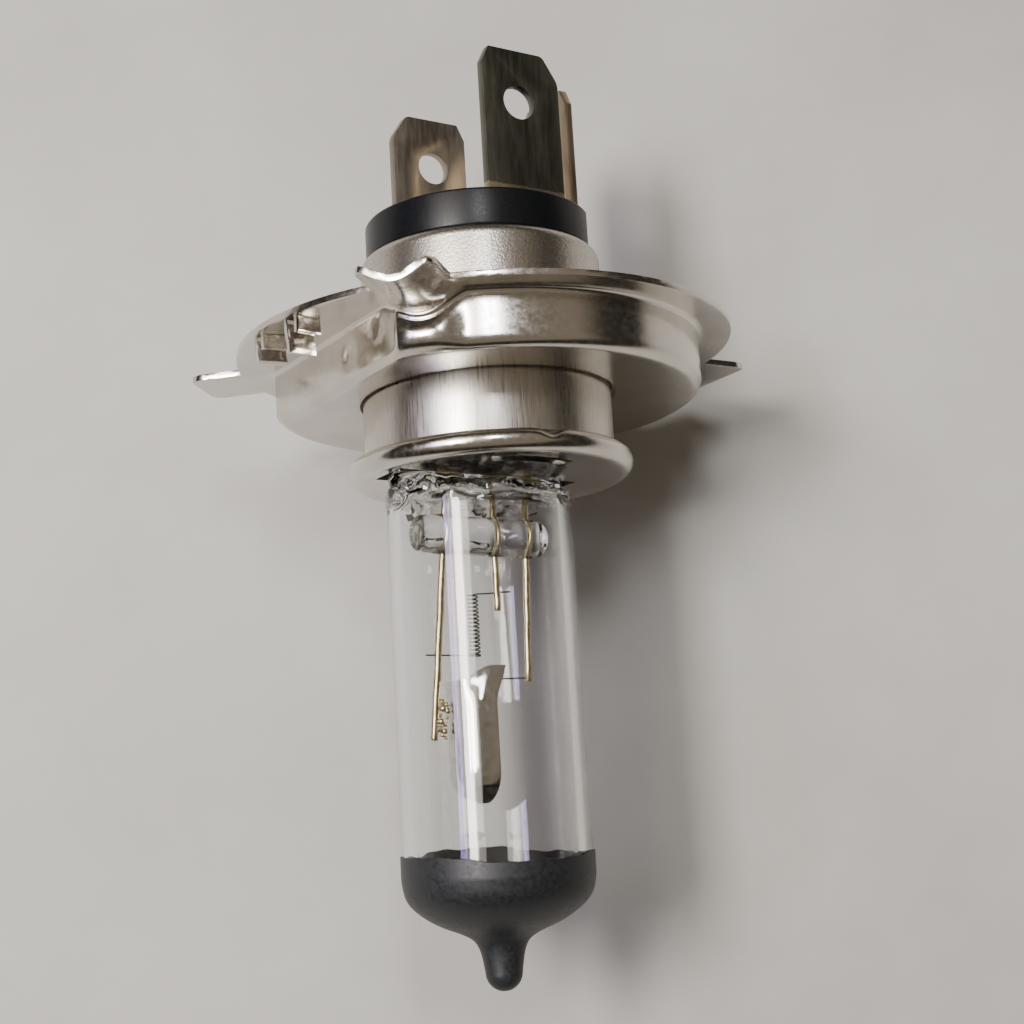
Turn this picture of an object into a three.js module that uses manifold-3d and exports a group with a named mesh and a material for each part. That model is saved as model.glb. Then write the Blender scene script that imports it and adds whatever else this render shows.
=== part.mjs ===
// A twin-filament halogen headlight bulb on a three-lug prefocus base, in millimetres.
// The bulb lies on its side: +Y runs along the base axis towards the blade terminals, the glass tip
// points along -Y, and +Z is up. The origin is on the base axis at the back face of the ring flange.
// Inside the two "turned" groups, local +X points at the wide reference lug and local +Z is the side
// of the high-beam blade.
import * as THREE from 'three';
import { mergeVertices } from 'three/addons/utils/BufferGeometryUtils.js';
import Module from 'manifold-3d';

const wasm = await Module();
wasm.setup();

// ---- driving dimensions ----------------------------------------------------------------------
const DEG = Math.PI / 180;
const LUG_TURN = 32.5 * DEG;          // the wide lug points this far below +X
const SIDE_LUG = 136.5 * DEG;         // the two narrow lugs stand this far either side of it
const WALL = 0.5;                     // ring sheet

const FLANGE_R = 21.5;                // prefocus ring, a standard 43 mm flange
const CUP_R = 18.6;                   // outside of the stepped cup
const CUP_DEPTH = 5.3;                // flange back to the cup's front corner
const CUP_FLOOR = 4.7;                // and to the edge of its hole: the floor is slightly conical
const CUP_BEND = 0.9;                 // bend radius at the cup's corners
const CUP_HOLE_R = 11.1;
const FLAT_D = 14.9;                  // the flat on the cup, opposite the wide lug
const LUG_R = 26.0;
const WIDE_LUG = 8.0;
const NARROW_LUG = 6.4;
const GUTTER_DEPTH = 1.2;             // the pressed gutter in one narrow lug

const SHELL_R = 10.52;                // base shell behind the flange
const SHELL_TOP = 8.0;
const SHELL_WALL = 0.4;
const SHELL_SHOULDER = 1.4;           // radius of the rolled shoulder
const SHELL_FLOOR = WALL - CUP_FLOOR + 0.03;
const FOOT_R = 13.4;                  // shell's foot, welded to the floor of the cup
const SLEEVE_R = 10.78;               // adjustable sleeve in front of the ring
const SLEEVE_TOP = -2.2;
const SLEEVE_WALL = 0.4;
const PLATE_R = 12.35;                // glass holder plate with its rolled rim
const PLATE_Y = -10.95;               // middle of the rolled rim
const PLATE_ROLL = 1.0;
const PLATE_WALL = 0.5;
const VENT_R = [7.2, 8.9];            // crescent slot in the plate, inside and outside edge
const VENT_ARC = [58.5, 109.5];       // where it starts and ends round the axis, in degrees

const INSULATOR_R = 9.95;
const LIP_R = 9.4;                    // the shell's lip, rolled in over the insulator's waist
const INSULATOR_TOP = 11.25;
const INSULATOR_SPIGOT = 5.5;         // bottom of the part that sits inside the shell

const BLADE_W = 7.7;                  // flat blade terminals
const BLADE_T = 0.8;
const BLADE_TIP = 24.4;
const BLADE_TAIL = 4.2;
const BLADE_NECK_W = 5.2;             // narrower stretch that passes through the insulator
const BLADE_SEAT = 8.7;               // where the neck widens to the full blade
const BLADE_ROOT_T = 0.7;             // the stretch in the insulator is coined a little thinner
const BLADE_ROOT = 11.4;
const BLADE_OFF = 8.0;                // each blade's distance from the axis
const BLADE_HOLE_R = 1.5;
const BLADE_HOLE_DROP = 4.75;         // from the tip to the middle of the detent hole
const BLADE_HOLE_SHIFT = -0.3;        // and off the blade's own centre line

const GLASS_X = -1.25;                // the glass stands a little off the base axis
const GLASS_R = 7.95;
const GLASS_WALL = 1.1;
const GLASS_SHOULDER = -13.4;         // where the tube closes down to the pinch
const DOME_Y = -45.2;
const TIP_Y = -54.6;
const COAT = 0.2;                     // thickness of the black dome coating
const COAT_EDGE = -43.45;
const COAT_SLANT = 5 * DEG;           // the coating's edge is not square to the axis

const PINCH_W = 17.2;
const PINCH_T = 3.4;
const PINCH_TOP = -5.2;
const LEAD_TOP = [[-3.2, -12.7], [1.4, -12.7], [4.9, -12.7]];    // [across the pinch, y]
const LEAD_END = [[-5.35, -34.1], [1.35, -23.1], [4.1, -29.1]];
const LEAD_R = 0.3;
const OUTER_LEAD_R = 0.35;
const FOIL = [2.4, 6.0, 0.1];
const FOIL_Y = -9.4;

const BRIDGE_Y = -16.7;
const BRIDGE_R = 1.65;
const BRIDGE_FROM = -6.1;
const BRIDGE_TO = 6.5;

const COIL_U = -1.1;                  // filament coils' line
const COIL_R = 0.42;
const COIL_WIRE = 0.1;
const HIGH_COIL = [-21.7, -27.0];
const LOW_COIL = [-29.0, -34.4];

const SHIELD_Y = [-29.2, -38.4];
const SHIELD_R = 2.9;
const SHIELD_T = 0.3;
const SHIELD_U = -0.9;
const SHIELD_OPEN = -0.1;             // the trough is open beyond this, towards the low-beam lead

const LANCE_W = 2.4;                  // two small lanced windows with their tongues bent forward
const LANCE_GAP = 1.8;
const LANCE_EDGE = 0.6;               // sheet left between a window and the flange's rim
const LANCE_DROP = [2.15, 2.65];      // the long tongues: away from the gutter, then next to it
const LANCE_LIP = 1.25;               // the short lip on each window's other side
const LANCE_TURN = 3.3 * DEG;         // their middle, measured from the flat's own middle
const LANCE_SPREAD = 7.3 * DEG;

const RING_SIDES = 64;
const TUBE_SIDES = 40;
const GLASS_SIDES = 32;

// ---- shape helpers ---------------------------------------------------------------------------
const part = new THREE.Group();
const turned = new THREE.Group();
turned.rotation.y = LUG_TURN;
const glassTurned = new THREE.Group();
glassTurned.rotation.y = LUG_TURN;
glassTurned.position.x = GLASS_X;
part.add(turned, glassTurned);
// The glass axis as it stands in the turned base's own X and Z.
const glassShift = [GLASS_X * Math.cos(LUG_TURN), GLASS_X * Math.sin(LUG_TURN)];

const finish = {
  nickel: { color: 0xb9b0a0, metalness: 1, roughness: 0.28 },
  brushed: { color: 0xb8ae9e, metalness: 1, roughness: 0.42 },
  blade: { color: 0x7d766a, metalness: 1, roughness: 0.48 },
  plastic: { color: 0x17181a, metalness: 0, roughness: 0.35 },
  quartz: { color: 0xe6e8ea, metalness: 0, roughness: 0.03, transparent: true, opacity: 0.3 },
  coating: { color: 0x1b1c1e, metalness: 0, roughness: 0.55 },
  molybdenum: { color: 0xd2c193, metalness: 1, roughness: 0.25 },
  tungsten: { color: 0x55534f, metalness: 1, roughness: 0.5 },
};

function add(parent, name, geometry, look) {
  const mesh = new THREE.Mesh(geometry, new THREE.MeshStandardMaterial(finish[look]));
  mesh.name = name;
  parent.add(mesh);
  return mesh;
}

function toSolid(geometry) {
  const bare = geometry.clone();
  bare.deleteAttribute('normal');
  bare.deleteAttribute('uv');
  const merged = mergeVertices(bare, 1e-4);
  const corners = merged.index.array;
  const faces = [];
  for (let i = 0; i < corners.length; i += 3) {
    const [a, b, c] = corners.slice(i, i + 3);
    if (a !== b && b !== c && c !== a) {
      faces.push(a, b, c);
    }
  }
  return new wasm.Manifold(new wasm.Mesh({
    numProp: 3,
    vertProperties: new Float32Array(merged.attributes.position.array),
    triVerts: new Uint32Array(faces),
  }));
}

function toGeometry(solid) {
  const mesh = solid.getMesh();
  const geometry = new THREE.BufferGeometry();
  geometry.setAttribute('position', new THREE.BufferAttribute(mesh.vertProperties, 3));
  geometry.setIndex(new THREE.BufferAttribute(mesh.triVerts, 1));
  return geometry;
}

function solidOf(geometry, { turn = 0, at = [0, 0, 0] } = {}) {
  const placed = geometry.clone();
  placed.translate(...at);
  placed.rotateY(turn);
  return toSolid(placed);
}

const round = (cx, cy, r, from, to, steps = 4) => Array.from({ length: steps + 1 }, (_, i) => {
  const a = (from + (to - from) * i / steps) * DEG;
  return [cx + r * Math.cos(a), cy + r * Math.sin(a)];
});

// A closed outline of [radius, y] points, anticlockwise, turned about Y.
function lathe(outline, sides) {
  const closed = outline[0][0] === 0 ? outline : [...outline, outline[0]];
  return new THREE.LatheGeometry(closed.map(([r, y]) => new THREE.Vector2(r, y)), sides);
}

function sheet(outline, thickness, holes = []) {
  const shape = new THREE.Shape(outline.map(([x, y]) => new THREE.Vector2(x, y)));
  for (const [x, y, r, sides] of holes) {
    const edge = round(x, y, r, 0, -360, sides).slice(0, -1);
    shape.holes.push(new THREE.Path(edge.map(([a, b]) => new THREE.Vector2(a, b))));
  }
  const geometry = new THREE.ExtrudeGeometry(shape, { depth: thickness, bevelEnabled: false });
  geometry.translate(0, 0, -thickness / 2);
  return geometry;
}

// A round wire: a smooth curve through points, or one straight stretch between two.
function wire(points, radius, { sides = 8, steps = 12, bent = true } = {}) {
  const places = points.map((p) => new THREE.Vector3(...p));
  const path = bent ? new THREE.CatmullRomCurve3(places, false, 'centripetal')
    : new THREE.LineCurve3(places[0], places[1]);
  const ring = new THREE.Shape(
    round(0, 0, radius, 0, 360, sides).slice(0, -1).map(([a, b]) => new THREE.Vector2(a, b)));
  return new THREE.ExtrudeGeometry(ring, {
    extrudePath: path, steps: bent ? steps : 1, bevelEnabled: false });
}

// ---- prefocus ring ---------------------------------------------------------------------------
function cupBody(radius, floor, front, flat, bend) {
  const outline = [[0, floor], [CUP_HOLE_R, floor],
    ...round(radius - bend, front + bend, bend, -90, 0), [radius, 0], [0, 0]];
  const drum = solidOf(lathe(outline, RING_SIDES));
  const keep = solidOf(new THREE.BoxGeometry(2 * FLANGE_R, 20, 3 * FLANGE_R),
    { at: [FLANGE_R - flat, 0, 0] });
  return drum.intersect(keep);
}

function lug(width, turn) {
  const corner = 0.8;
  const half = width / 2;
  const outline = [[CUP_R, -half], [LUG_R - corner, -half], [LUG_R, corner - half],
    [LUG_R, half - corner], [LUG_R - corner, half], [CUP_R, half]];
  const plate = sheet(outline, WALL);
  plate.rotateX(Math.PI / 2);
  return solidOf(plate, { at: [0, -WALL / 2, 0], turn });
}

// The gutter: a bowed trough pressed forward through one narrow lug and into the cup wall.
function gutterSection(inset) {
  const half = NARROW_LUG / 2 + 0.3 - inset;
  const bow = Array.from({ length: 9 }, (_, i) => {
    const s = -1 + i / 4;
    return [s * half, -GUTTER_DEPTH * Math.cos(s * Math.PI / 2) - WALL + inset];
  });
  return [...bow, [half, 3], [-half, 3]];
}

function prefocusRing() {
  const flange = solidOf(lathe([[12, -WALL], [FLANGE_R, -WALL], [FLANGE_R, 0], [12, 0]],
    RING_SIDES));
  const outer = cupBody(CUP_R, -CUP_FLOOR, -CUP_DEPTH, FLAT_D, CUP_BEND);
  const lugTurns = [0, SIDE_LUG, -SIDE_LUG];
  let ring = flange.add(outer);
  lugTurns.forEach((turn, i) => {
    ring = ring.add(lug(i ? NARROW_LUG : WIDE_LUG, turn));
  });
  const nearLug = -SIDE_LUG;
  const trough = (inset, from, to) => {
    const geometry = sheet(gutterSection(inset), to - from);
    geometry.rotateY(Math.PI / 2);
    return solidOf(geometry, { at: [(from + to) / 2, 0, 0], turn: nearLug });
  };
  const above = solidOf(new THREE.BoxGeometry(60, 6, 60), { at: [0, 3, 0] });
  ring = ring.add(trough(0, CUP_R - 1.6, LUG_R - 0.2).subtract(above));
  const cavity = cupBody(CUP_R - WALL, WALL - CUP_FLOOR, WALL - CUP_DEPTH, FLAT_D - WALL,
    CUP_BEND - WALL);
  const mouth = solidOf(new THREE.CylinderGeometry(CUP_HOLE_R, CUP_HOLE_R, 20, RING_SIDES));
  ring = ring.subtract(cavity.add(cavity.translate([0, WALL, 0]))).subtract(mouth);
  ring = ring.subtract(trough(WALL, CUP_R - 1.1, LUG_R + 1));
  for (const side of [-1, 1]) {
    ring = lancedTab(ring, side);
  }
  return toGeometry(ring);
}

// Two small windows in the wide part of the flange, each with its tongue bent forward.
function lancedTab(ring, side) {
  const turn = Math.PI + LANCE_TURN + side * LANCE_SPREAD;
  const at = [FLANGE_R - LANCE_W / 2 - LANCE_EDGE, -WALL / 2, 0];
  const window = solidOf(new THREE.BoxGeometry(LANCE_W, 3, LANCE_GAP), { at, turn });
  const hung = (drop, z) => solidOf(new THREE.BoxGeometry(LANCE_W, drop, WALL - 0.1),
    { at: [at[0], -drop / 2, z], turn });
  const drop = LANCE_DROP[side < 0 ? 0 : 1];
  const tongue = hung(drop, LANCE_GAP / 2 + 0.15);
  const lip = hung(LANCE_LIP, -LANCE_GAP / 2 - 0.15);
  return ring.subtract(window).add(tongue).add(lip);
}

add(turned, 'prefocus_ring', prefocusRing(), 'nickel');

// ---- base shell, sleeve and glass holder plate -----------------------------------------------
// The shell flares just above the sleeve and ends in a flat foot.
function baseShell() {
  const flare = SLEEVE_R + 0.1;
  const middle = [SHELL_R - SHELL_SHOULDER, SHELL_TOP - SHELL_SHOULDER];
  const inner = SHELL_R - SHELL_WALL;
  return lathe([
    [flare, SHELL_FLOOR], [FOOT_R, SHELL_FLOOR], [FOOT_R, SHELL_FLOOR + SHELL_WALL],
    [flare + SHELL_WALL + 0.2, SHELL_FLOOR + SHELL_WALL], [flare + SHELL_WALL, -2.0],
    [SHELL_R, -1.2], ...round(...middle, SHELL_SHOULDER, 0, 78, 5),
    [LIP_R, SHELL_TOP - 0.05], [LIP_R, SHELL_TOP - SHELL_WALL],
    ...round(...middle, SHELL_SHOULDER - SHELL_WALL, 68, 0, 3), [inner, -1.4], [flare, -2.1],
  ], TUBE_SIDES);
}
add(part, 'base_shell', baseShell(), 'nickel');

function lowerSleeve() {
  const bottom = PLATE_Y + PLATE_ROLL + 0.03;
  const inner = SLEEVE_R - SLEEVE_WALL;
  return lathe([[inner, bottom], [SLEEVE_R, bottom], [SLEEVE_R, SLEEVE_TOP - 0.15],
    [SLEEVE_R - 0.15, SLEEVE_TOP], [inner, SLEEVE_TOP]], TUBE_SIDES);
}
add(part, 'lower_sleeve', lowerSleeve(), 'brushed');

function holderPlate() {
  const rim = PLATE_R - PLATE_ROLL;
  const dish = rim - 0.9;
  const low = PLATE_Y - PLATE_ROLL + 0.25;
  const body = solidOf(lathe([[0, low], [dish, low],
    ...round(rim, PLATE_Y, PLATE_ROLL, -110, 100, 8),
    [dish, PLATE_Y + PLATE_ROLL], [dish, low + PLATE_WALL], [0, low + PLATE_WALL]], TUBE_SIDES));
  const [shiftX, shiftZ] = glassShift;
  const slot = solidOf(new THREE.BoxGeometry(PINCH_W + 0.8, 6, PINCH_T + 1.2),
    { at: [shiftX, PLATE_Y, shiftZ] });
  const [inside, outside] = VENT_R;
  const [from, to] = VENT_ARC;
  const vent = sheet([...round(0, 0, outside, from, to, 8), ...round(0, 0, inside, to, from, 8)],
    6);
  vent.rotateX(-Math.PI / 2);
  const crescent = solidOf(vent, { at: [0, PLATE_Y, 0], turn: Math.PI });
  return toGeometry(body.subtract(slot).subtract(crescent));
}
add(turned, 'glass_holder_plate', holderPlate(), 'nickel');

// ---- insulator, blade terminals and outer leads ----------------------------------------------
const bladeTurns = {
  terminal_high_beam: Math.PI / 2,
  terminal_ground: -Math.PI / 2,
  terminal_low_beam: 0,
};

function bladeSheet() {
  const half = BLADE_W / 2;
  const neck = BLADE_NECK_W / 2;
  const tail = 1.6;
  const tab = sheet([[-half, BLADE_ROOT], [half, BLADE_ROOT],
    [half, BLADE_TIP - 2.6], [half - 0.5, BLADE_TIP - 1.3], [half - 1.5, BLADE_TIP],
    [0.75 - half, BLADE_TIP], [-half, BLADE_TIP - 1.5]],
  BLADE_T, [[BLADE_HOLE_SHIFT, BLADE_TIP - BLADE_HOLE_DROP, BLADE_HOLE_R, 14]]);
  const root = sheet([[-tail, BLADE_TAIL], [tail, BLADE_TAIL], [tail, BLADE_TAIL + 0.8],
    [neck, BLADE_TAIL + 1.2], [neck, BLADE_SEAT], [half, BLADE_SEAT], [half, BLADE_ROOT + 0.2],
    [-half, BLADE_ROOT + 0.2], [-half, BLADE_SEAT], [-neck, BLADE_SEAT],
    [-neck, BLADE_TAIL + 1.2], [-tail, BLADE_TAIL + 0.8]], BLADE_ROOT_T);
  return toGeometry(toSolid(tab).add(toSolid(root)));
}

for (const [name, turn] of Object.entries(bladeTurns)) {
  const blade = bladeSheet();
  blade.rotateY(Math.PI / 2);
  blade.translate(BLADE_OFF, 0, 0);
  blade.rotateY(-turn);
  add(turned, name, blade, 'blade');
}

function insulator() {
  const spigot = SHELL_R - SHELL_WALL - 0.25;
  const waist = LIP_R - 0.1;
  let disc = solidOf(lathe([[0, INSULATOR_SPIGOT], [spigot, INSULATOR_SPIGOT],
    [spigot, SHELL_TOP - 2.2], [waist, SHELL_TOP - 0.9], [waist, SHELL_TOP],
    [INSULATOR_R, SHELL_TOP],
    [INSULATOR_R, INSULATOR_TOP - 0.2], [INSULATOR_R - 0.2, INSULATOR_TOP],
    [0, INSULATOR_TOP]], TUBE_SIDES));
  for (const turn of Object.values(bladeTurns)) {
    const where = (y) => ({ at: [BLADE_OFF, y, 0], turn: -turn });
    const slot = new THREE.BoxGeometry(BLADE_ROOT_T + 0.1, 6, BLADE_W + 0.1);
    const throat = new THREE.BoxGeometry(BLADE_ROOT_T + 0.1, 9, BLADE_NECK_W + 0.1);
    disc = disc.subtract(solidOf(slot, where(BLADE_SEAT - 0.05 + 3)));
    disc = disc.subtract(solidOf(throat, where(BLADE_SEAT)));
  }
  const vent = new THREE.CylinderGeometry(1.1, 1.1, 12, 12);
  return toGeometry(disc.subtract(solidOf(vent, { at: [0, 9, 0] })));
}
add(turned, 'terminal_insulator', insulator(), 'plastic');

const leadBends = [
  { name: 'outer_lead_ground', to: [0, -BLADE_OFF + 1.0], u: LEAD_TOP[0][0] },
  { name: 'outer_lead_high_beam', to: [0, BLADE_OFF - 1.0], u: LEAD_TOP[1][0] },
  { name: 'outer_lead_low_beam', to: [BLADE_OFF - 1.0, 0], u: LEAD_TOP[2][0] },
];
for (const lead of leadBends) {
  const start = [lead.u + glassShift[0], glassShift[1]];
  const [x, z] = lead.to;
  add(turned, lead.name, wire([
    [start[0], FOIL_Y + FOIL[1] / 2 + 0.3, start[1]], [start[0], PINCH_TOP + 2.4, start[1]],
    [(start[0] + x) / 2, 0.2, (start[1] + z) / 2], [x, 3.2, z], [x, INSULATOR_SPIGOT - 0.5, z],
  ], OUTER_LEAD_R, { steps: 16 }), 'nickel');
}

// ---- pinch clamp -----------------------------------------------------------------------------
function clampHalf(side) {
  const face = PINCH_T / 2 + 0.1;
  const half = PINCH_W / 2 - 1.2;
  const low = PLATE_Y - PLATE_ROLL + 0.78;
  const bend = [[face, low + 0.02], [face + 1.9, low + 0.02], [face + 1.9, low + 0.37],
    [face + 0.35, low + 0.37], [face + 0.35, PINCH_TOP - 0.6], [face + 0.8, PINCH_TOP],
    [face + 0.5, PINCH_TOP + 0.2], [face, PINCH_TOP - 0.5]];
  const geometry = sheet(bend, 2 * half);
  geometry.rotateY(-Math.PI / 2);
  if (side < 0) {
    geometry.rotateY(Math.PI);
  }
  return geometry;
}
add(glassTurned, 'pinch_clamp_front', clampHalf(1), 'nickel');
add(glassTurned, 'pinch_clamp_rear', clampHalf(-1), 'nickel');

// ---- glass envelope and coating --------------------------------------------------------------
// Points of the dome from the tube wall to the tip, set in from the outside by `inset`.
function dome(inset) {
  const nub = 1.55;
  const neck = [[8.0, -46.4], [7.3, -47.6], [6.2, -48.5], [4.8, -49.2], [3.2, -49.8],
    [2.25, -50.4], [1.8, -51.4], [nub, -52.8]].map(([r, y]) => [r - inset, y + inset * 0.7]);
  const end = round(0, TIP_Y + nub, nub - inset, 0, -72, 3);
  return { neck, end };
}

function glassEnvelope() {
  const outside = dome(0.15);
  const bore = GLASS_R - GLASS_WALL;
  const skin = solidOf(lathe([[0, TIP_Y + 0.2], ...outside.end.reverse(),
    ...outside.neck.reverse(), [GLASS_R, DOME_Y], [GLASS_R, GLASS_SHOULDER - 0.8],
    [GLASS_R - 0.5, GLASS_SHOULDER + 0.4], [GLASS_R - 2.4, GLASS_SHOULDER + 1.4],
    [0, GLASS_SHOULDER + 1.4]], GLASS_SIDES));
  const half = PINCH_W / 2;
  const press = solidOf(new THREE.BoxGeometry(PINCH_W, PINCH_TOP - GLASS_SHOULDER + 2, PINCH_T),
    { at: [0, (PINCH_TOP + GLASS_SHOULDER - 2) / 2, 0] });
  const bead = (x) => solidOf(
    new THREE.CylinderGeometry(PINCH_T / 2 + 0.2, PINCH_T / 2 + 0.2, 2.4, 12),
    { at: [x, GLASS_SHOULDER + 1.0, 0] });
  const inside = solidOf(lathe([[0, -49.0], [2.6, -48.8], [4.6, -48.1], [5.9, -47.3],
    [bore - 0.1, -46.0], [bore, DOME_Y], [bore, GLASS_SHOULDER - 1.4],
    [bore - 1.6, GLASS_SHOULDER - 0.4], [0, GLASS_SHOULDER - 0.2]], GLASS_SIDES));
  let glass = skin.add(press).add(bead(half - 1.5)).add(bead(1.5 - half)).subtract(inside);
  for (const [u] of LEAD_TOP) {
    const channel = solidOf(new THREE.CylinderGeometry(0.65, 0.65, 12, 8),
      { at: [u, (PINCH_TOP + GLASS_SHOULDER) / 2, 0] });
    const pocket = solidOf(new THREE.BoxGeometry(FOIL[0] + 0.3, FOIL[1] + 0.4, 0.7),
      { at: [u, FOIL_Y, 0] });
    glass = glass.subtract(channel).subtract(pocket);
  }
  return toGeometry(glass);
}
add(glassTurned, 'glass_envelope', glassEnvelope(), 'quartz');

function dippedCoating() {
  const outside = dome(-0.05);
  const inside = dome(0.13);
  const outer = GLASS_R + COAT;
  const gap = GLASS_R + 0.02;
  const shell = solidOf(lathe([[0, TIP_Y], ...outside.end.reverse(), ...outside.neck.reverse(),
    [outer, DOME_Y], [outer, COAT_EDGE + 4], [gap, COAT_EDGE + 4], [gap, DOME_Y],
    ...inside.neck, ...inside.end, [0, TIP_Y + 0.14]], GLASS_SIDES));
  const trim = new THREE.BoxGeometry(30, 20, 30);
  trim.translate(0, 10, 0);
  trim.rotateX(COAT_SLANT);
  const placed = solidOf(trim, { turn: -LUG_TURN }).translate([0, COAT_EDGE, 0]);
  return toGeometry(shell.subtract(placed));
}
add(glassTurned, 'opaque_dome_coating', dippedCoating(), 'coating');

// ---- pinch foils, inner leads and quartz bridge ----------------------------------------------
const circuits = ['ground', 'high_beam', 'low_beam'];
LEAD_TOP.forEach(([u, top], i) => {
  const foil = new THREE.BoxGeometry(...FOIL);
  foil.translate(u, FOIL_Y, 0);
  add(glassTurned, `pinch_foil_${circuits[i]}`, foil, 'molybdenum');
  const [endU, endY] = LEAD_END[i];
  add(glassTurned, `inner_lead_${circuits[i]}`,
    wire([[u, top, 0], [endU, endY, 0]], LEAD_R, { bent: false }), 'molybdenum');
});

// Where a lead stands across the pinch at height y.
function leadAt(i, y) {
  const [u0, y0] = LEAD_TOP[i];
  const [u1, y1] = LEAD_END[i];
  return u0 + (u1 - u0) * (y - y0) / (y1 - y0);
}

function quartzBridge() {
  const rod = new THREE.CylinderGeometry(BRIDGE_R, BRIDGE_R, BRIDGE_TO - BRIDGE_FROM, 20);
  rod.rotateZ(Math.PI / 2);
  let bridge = solidOf(rod, { at: [(BRIDGE_TO + BRIDGE_FROM) / 2, BRIDGE_Y, 0] });
  for (const i of [0, 1, 2]) {
    bridge = bridge.subtract(solidOf(new THREE.CylinderGeometry(0.65, 0.65, 6, 8),
      { at: [leadAt(i, BRIDGE_Y), BRIDGE_Y, 0] }));
  }
  return toGeometry(bridge);
}
add(glassTurned, 'quartz_bridge', quartzBridge(), 'quartz');

// ---- filaments -------------------------------------------------------------------------------
class CoilPath extends THREE.Curve {
  constructor(from, to, turns) {
    super();
    Object.assign(this, { from, to, turns });
  }

  getPoint(t, target = new THREE.Vector3()) {
    const a = t * this.turns * 2 * Math.PI;
    return target.set(COIL_U + COIL_R * Math.cos(a), this.from + (this.to - this.from) * t,
      COIL_R * Math.sin(a));
  }
}

// One coil with a straight leg from each end; the legs run to just short of their leads.
function filament([from, to], firstLeg, lastLeg, turns = 13) {
  const ring = new THREE.Shape(
    round(0, 0, COIL_WIRE, 0, 360, 5).slice(0, -1).map(([a, b]) => new THREE.Vector2(a, b)));
  const coil = toSolid(new THREE.ExtrudeGeometry(ring, {
    extrudePath: new CoilPath(from, to, turns), steps: turns * 7, bevelEnabled: false }));
  const start = COIL_U + COIL_R;
  const leg = (y, x1) => toSolid(wire([[start - 0.1 * Math.sign(x1 - start), y, 0], [x1, y, 0]],
    COIL_WIRE * 1.15, { sides: 6, bent: false }));
  return toGeometry(coil.add(leg(from, firstLeg)).add(leg(to, lastLeg)));
}
const besideLead = LEAD_R + 0.08;
const highFeet = [leadAt(1, HIGH_COIL[0]) - besideLead, leadAt(0, HIGH_COIL[1]) + besideLead];
add(glassTurned, 'high_beam_filament', filament(HIGH_COIL, ...highFeet), 'tungsten');

const lowFeet = [leadAt(2, LOW_COIL[0]) - besideLead, SHIELD_U - 0.6];
add(glassTurned, 'low_beam_filament', filament(LOW_COIL, ...lowFeet), 'tungsten');

// ---- dipped-beam shield ----------------------------------------------------------------------
function beamShield() {
  const [top, low] = SHIELD_Y;
  // A round-nosed plug of radius r, its nose standing `lift` above the shield's low end.
  const plug = (r, lift) => solidOf(lathe([[0, low + lift],
    ...round(0, low + lift + r * 0.55, r, -62, 0, 5), [r, top + 2], [0, top + 2]], 28));
  const outer = plug(SHIELD_R, 0);
  const inner = plug(SHIELD_R - SHIELD_T, SHIELD_T);
  const cut = solidOf(new THREE.BoxGeometry(12, 40, 12), { at: [6 + SHIELD_OPEN, -34, 0] });
  const topCut = solidOf(new THREE.BoxGeometry(12, 6, 12), { at: [0, top + 3, 0] });
  const tab = solidOf(new THREE.BoxGeometry(1.6, 3.8, 0.45),
    { at: [-SHIELD_R - 0.55, (top + low) / 2 + 1.6, 0.75] });
  const bowl = outer.subtract(inner).subtract(cut).subtract(topCut);
  return toGeometry(bowl.add(tab).translate([SHIELD_U, 0, 0]));
}
add(glassTurned, 'low_beam_shield', beamShield(), 'molybdenum');

export default part;
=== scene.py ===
from math import atan2, cos, degrees, exp, hypot, pi, radians, sin, sqrt, tan

import bmesh
import bpy
from mathutils import Matrix, Vector, noise


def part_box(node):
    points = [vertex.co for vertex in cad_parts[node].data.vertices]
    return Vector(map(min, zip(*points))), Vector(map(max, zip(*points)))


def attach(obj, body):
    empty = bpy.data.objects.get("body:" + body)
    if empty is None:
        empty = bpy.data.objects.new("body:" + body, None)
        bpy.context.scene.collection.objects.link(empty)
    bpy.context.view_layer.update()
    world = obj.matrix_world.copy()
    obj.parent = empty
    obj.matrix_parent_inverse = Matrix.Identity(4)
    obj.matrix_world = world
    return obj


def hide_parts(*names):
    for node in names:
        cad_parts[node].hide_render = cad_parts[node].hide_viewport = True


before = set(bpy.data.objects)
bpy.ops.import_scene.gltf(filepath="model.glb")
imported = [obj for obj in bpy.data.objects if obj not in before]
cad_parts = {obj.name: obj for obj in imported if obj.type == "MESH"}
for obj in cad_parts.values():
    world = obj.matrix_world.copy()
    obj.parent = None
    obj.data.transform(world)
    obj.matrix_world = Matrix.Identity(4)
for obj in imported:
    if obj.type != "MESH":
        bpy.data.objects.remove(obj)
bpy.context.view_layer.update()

# A twin-filament halogen headlight bulb lying on its side. +Y is the base axis, towards the blades.
# Pieces are worked out in millimetres and scaled to metres as each one is finished.
MM = 0.001

# ---- driving sizes ---------------------------------------------------------------------------
TURN = radians(32.5)            # the base is turned so that its wide lug points this far below +X
SIDE_LUG = radians(136.5)


def extent(node):
    low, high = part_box(node)
    return low / MM, high / MM


ring_low = extent("prefocus_ring")[0]
shell_low, shell_high = extent("base_shell")
sleeve_low, sleeve_high = extent("lower_sleeve")
plate_low, plate_high = extent("glass_holder_plate")
plug_low, plug_high = extent("terminal_insulator")
blade_low, blade_high = extent("terminal_high_beam")
coat_low, coat_high = extent("opaque_dome_coating")
glass_high = extent("glass_envelope")[1]
bridge_low, bridge_high = extent("quartz_bridge")
shield_low, shield_high = extent("low_beam_shield")

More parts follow.
